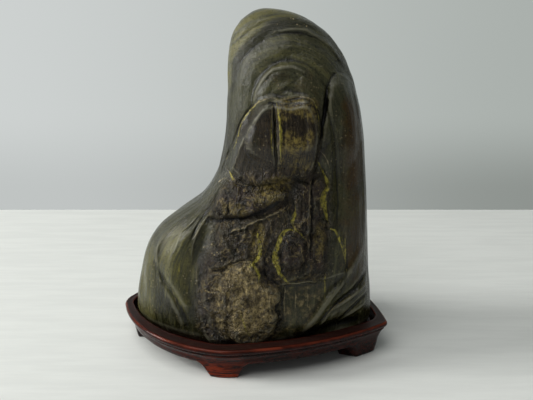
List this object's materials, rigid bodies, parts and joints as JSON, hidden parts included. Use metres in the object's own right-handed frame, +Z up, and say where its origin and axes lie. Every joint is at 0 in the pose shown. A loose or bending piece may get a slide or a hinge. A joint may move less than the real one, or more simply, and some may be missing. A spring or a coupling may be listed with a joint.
{
  "type": "scholars rock on stand",
  "caption": "Upright water-worn viewing stone with a low left shoulder, standing in the recess of a carved hardwood stand on short bracket feet.",
  "frame": {"origin": "on the surface the stand's feet rest on, under the middle of the whole object's box", "axes": "+Z up; -Y is the carved front; +X runs to the sharp right-hand corner of the stand"},
  "size_m": [0.1496, 0.0983, 0.184],
  "materials": {
    "stone": "dark olive stone with tan, ochre and yellow markings, part polished and part rough",
    "hardwood": "dark red-brown carved hardwood, waxed to a soft gloss"
  },
  "bodies": {
    "root": {"stone": "stone", "stand": "hardwood"}
  },
  "joints": []
}
